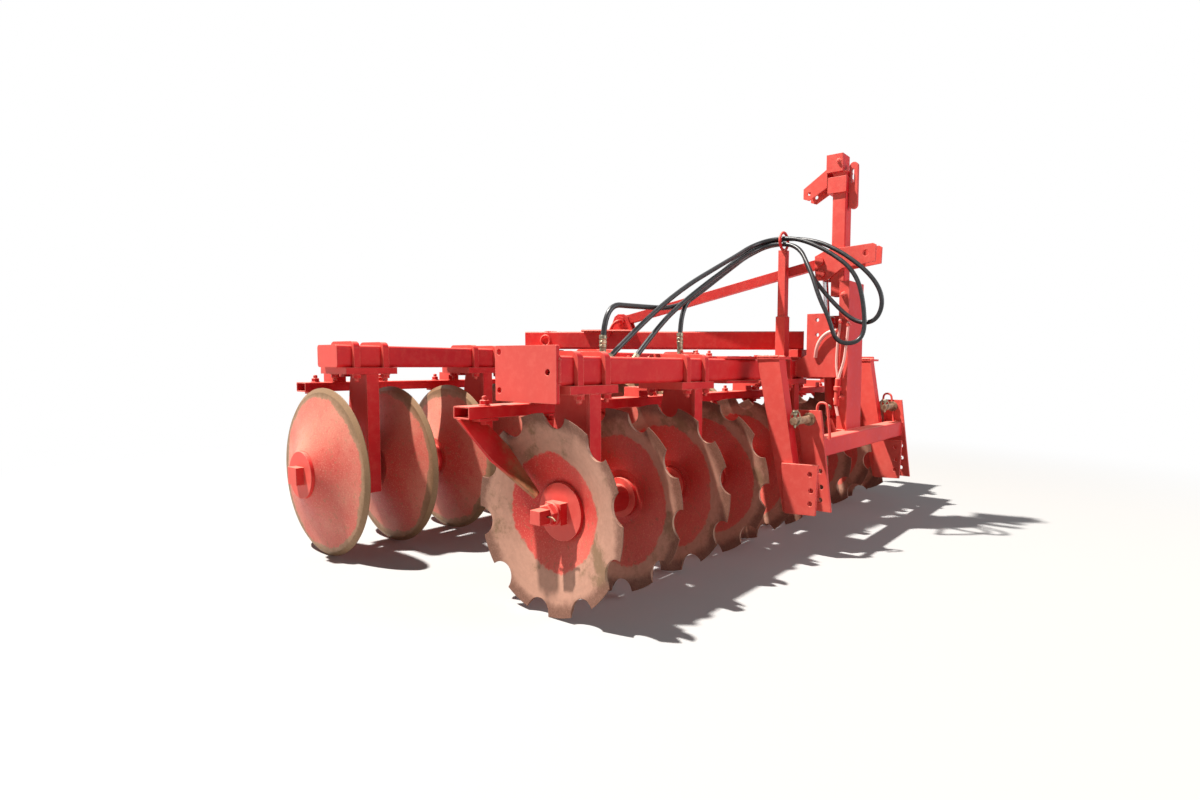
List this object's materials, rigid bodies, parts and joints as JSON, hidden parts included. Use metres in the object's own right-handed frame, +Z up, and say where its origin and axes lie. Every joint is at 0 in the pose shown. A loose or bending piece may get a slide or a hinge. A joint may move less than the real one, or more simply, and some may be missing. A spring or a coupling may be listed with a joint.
{
  "type": "disc harrow",
  "caption": "Mounted two-row disc harrow with notched front discs, plain rear discs, an angling rear row, a three-point headstock and a tall mast.",
  "frame": {"origin": "on the floor, under the middle of the machine's outline", "axes": "+X across the machine to its left side, +Y to the rear, away from the tractor, +Z up"},
  "size_m": [2.576, 1.8121, 1.577],
  "materials": {
    "red_paint": "weathered semi-gloss",
    "disc_steel": "worn bare steel with soil and rust",
    "bare_steel": "dull, lightly rusted",
    "chrome_rod": "polished",
    "hose_rubber": "matt",
    "fitting_steel": "zinc plated"
  },
  "bodies": {
    "frame": {"angle_front_lugs": "red_paint", "beam_saddle": "red_paint", "cross_tube": "red_paint", "end_plates": "red_paint", "front_beam": "red_paint", "front_hanger_1": "red_paint", "front_hanger_2": "red_paint", "front_hanger_3": "red_paint", "front_hanger_4": "red_paint", "front_scraper_arms": "red_paint", "front_scraper_bar": "red_paint", "front_scrapers": "red_paint", "front_straps": "red_paint", "headstock_legs": "red_paint", "hitch_pins": "bare_steel", "hitch_plates": "red_paint", "hose_fittings": "fitting_steel", "hose_inner": "hose_rubber", "hose_outer": "hose_rubber", "hose_post": "red_paint", "leg_grip_plates": "red_paint", "link_pins": "red_paint", "main_beam": "red_paint", "mast_box": "red_paint", "mast_cheeks": "red_paint", "mast_cylinder": "red_paint", "mast_cylinder_foot": "red_paint", "mast_cylinder_rod": "chrome_rod", "mast_head": "red_paint", "mast_tube": "red_paint", "pivot_pin": "red_paint", "stay": "red_paint", "stay_bracket": "red_paint", "top_link_plates": "red_paint"},
    "front_gang": {"front_discs": "disc_steel", "front_axle": "red_paint", "front_spools": "red_paint"},
    "rear_gang": {"rear_discs": "disc_steel", "rear_axle": "red_paint", "rear_spools": "red_paint"},
    "rear_frame": {"rear_beam": "red_paint", "rear_hanger_1": "red_paint", "rear_hanger_2": "red_paint", "rear_hanger_3": "red_paint", "rear_hanger_4": "red_paint", "rear_straps": "red_paint", "rear_scraper_bar": "red_paint", "rear_scraper_arms": "red_paint", "rear_scrapers": "red_paint", "angle_rear_lugs": "red_paint"},
    "angle_barrel": {"angle_cylinder_barrel": "red_paint"},
    "angle_rod": {"angle_cylinder_rod": "chrome_rod"}
  },
  "joints": [
    {"name": "front_gang_turn", "type": "hinge", "parent": "frame", "child": "front_gang", "pos_m": [0, -0.481, 0.28], "axis": [1, 0, 0], "continuous": true},
    {"name": "rear_row_angle", "type": "hinge", "parent": "frame", "child": "rear_frame", "pos_m": [-0.097, 0.579, 0.7], "axis": [0, 0, -1], "range_deg": [0, 14]},
    {"name": "rear_gang_turn", "type": "hinge", "parent": "rear_frame", "child": "rear_gang", "pos_m": [0, 0.574, 0.3], "axis": [1, 0, 0], "continuous": true},
    {"name": "angle_barrel_turn", "type": "hinge", "parent": "frame", "child": "angle_barrel", "pos_m": [0.279, -0.359, 0.694], "axis": [0, 0, 1], "range_deg": [0, 2.3]},
    {"name": "angle_rod_slide", "type": "slide", "parent": "angle_barrel", "child": "angle_rod", "axis": [0.0983, 0.9952, 0], "range_m": [-0.1106, 0]}
  ],
  "couplings": [
    {"joint": "angle_barrel_turn", "follows": "rear_row_angle", "ratio": 0.162},
    {"joint": "angle_rod_slide", "follows": "rear_row_angle", "m_per_rad": -0.452}
  ]
}
